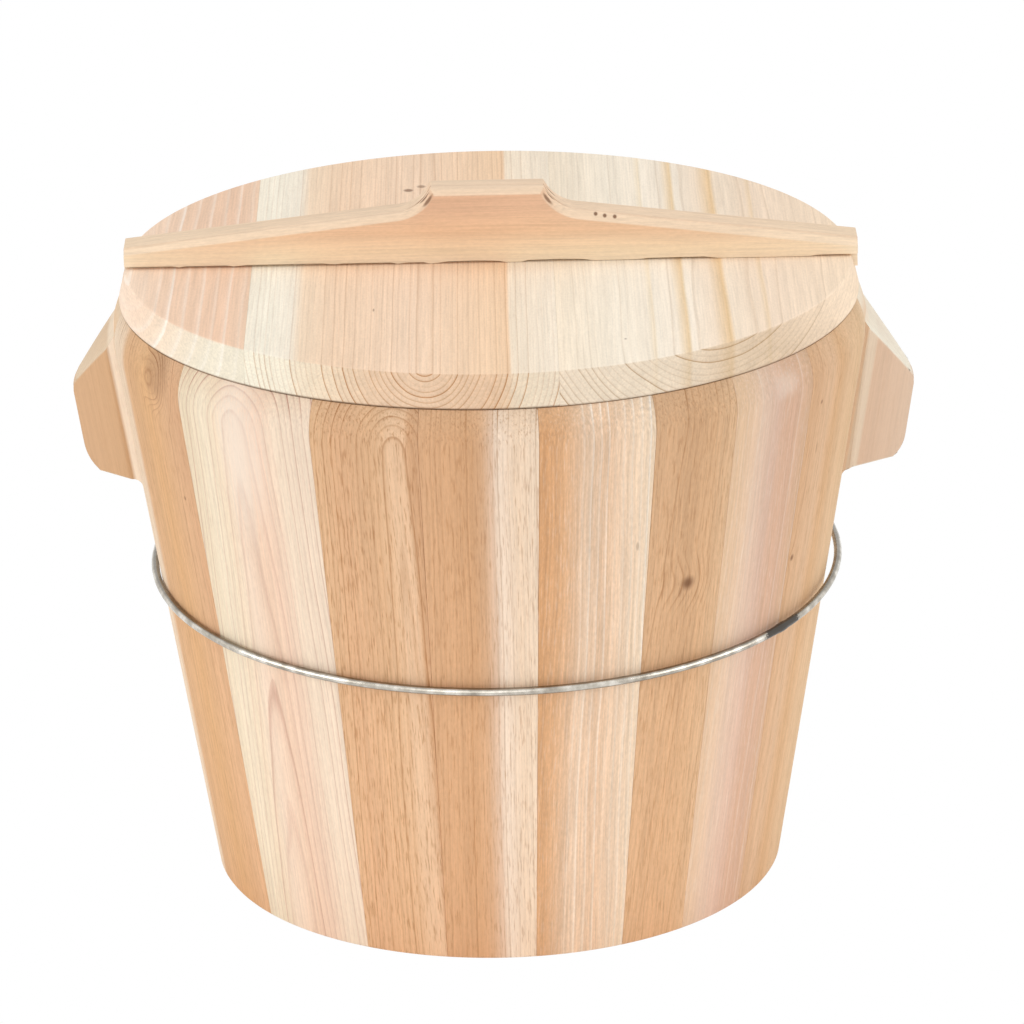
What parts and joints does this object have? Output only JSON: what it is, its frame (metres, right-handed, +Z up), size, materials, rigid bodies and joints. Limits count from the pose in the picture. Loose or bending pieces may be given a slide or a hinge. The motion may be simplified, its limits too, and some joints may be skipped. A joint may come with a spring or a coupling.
{
  "type": "wooden rice steamer",
  "caption": "Tapered round wooden rice steamer of upright staves with two side ears, a wire hoop, a flat lift-off lid with a cross-bar handle and a slatted inner grid.",
  "frame": {"origin": "centre of the foot, on the surface that the steamer stands on", "axes": "+Z up along the barrel's axis, the ears along X, the front of the picture towards -Y"},
  "size_m": [0.3392, 0.3028, 0.2866],
  "materials": {
    "fir_brown": "sanded bare fir, brown heartwood",
    "fir_pink": "sanded bare fir, pinkish",
    "fir_pale": "sanded bare fir, pale sapwood",
    "bamboo": "split bamboo",
    "galvanised_wire": "galvanised steel wire with a butt weld"
  },
  "bodies": {
    "barrel": {"stave_front_1": "fir_brown", "stave_front_2": "fir_pale", "stave_front_3": "fir_brown", "stave_front_4": "fir_pink", "stave_front_5": "fir_pink", "stave_front_6": "fir_brown", "stave_front_7": "fir_pink", "stave_front_8": "fir_brown", "stave_ear_right": "fir_brown", "stave_back_1": "fir_pink", "stave_back_2": "fir_pale", "stave_back_3": "fir_brown", "stave_back_4": "fir_pink", "stave_back_5": "fir_brown", "stave_back_6": "fir_pale", "stave_back_7": "fir_pink", "stave_back_8": "fir_brown", "stave_ear_left": "fir_brown", "stave_pin_1": "bamboo", "stave_pin_2": "bamboo", "stave_pin_3": "bamboo", "stave_pin_4": "bamboo", "stave_pin_5": "bamboo", "stave_pin_6": "bamboo", "stave_pin_7": "bamboo", "stave_pin_8": "bamboo", "stave_pin_9": "bamboo", "stave_pin_10": "bamboo", "stave_pin_11": "bamboo", "stave_pin_12": "bamboo", "stave_pin_13": "bamboo", "stave_pin_14": "bamboo", "stave_pin_15": "bamboo", "stave_pin_16": "bamboo", "stave_pin_17": "bamboo", "stave_pin_18": "bamboo", "hoop": "galvanised_wire"},
    "lid": {"lid_board_1": "fir_pink", "lid_board_2": "fir_brown", "lid_board_3": "fir_pale", "lid_pin_1_front": "bamboo", "lid_pin_1_back": "bamboo", "lid_pin_2_front": "bamboo", "lid_pin_2_back": "bamboo", "lid_bar": "fir_pink"},
    "grid": {"grid_slat_1": "fir_pale", "grid_slat_2": "fir_pale", "grid_slat_3": "fir_pale", "grid_slat_4": "fir_pale", "grid_slat_5": "fir_pale", "grid_slat_6": "fir_pale", "grid_slat_7": "fir_pale", "grid_batten_front": "fir_pale", "grid_batten_back": "fir_pale"}
  },
  "joints": [
    {"name": "lid_lift", "type": "slide", "parent": "barrel", "child": "lid", "axis": [0, 0, 1], "range_m": [0, 0.26]},
    {"name": "grid_lift", "type": "slide", "parent": "barrel", "child": "grid", "axis": [0, 0, 1], "range_m": [0, 0.19]}
  ]
}
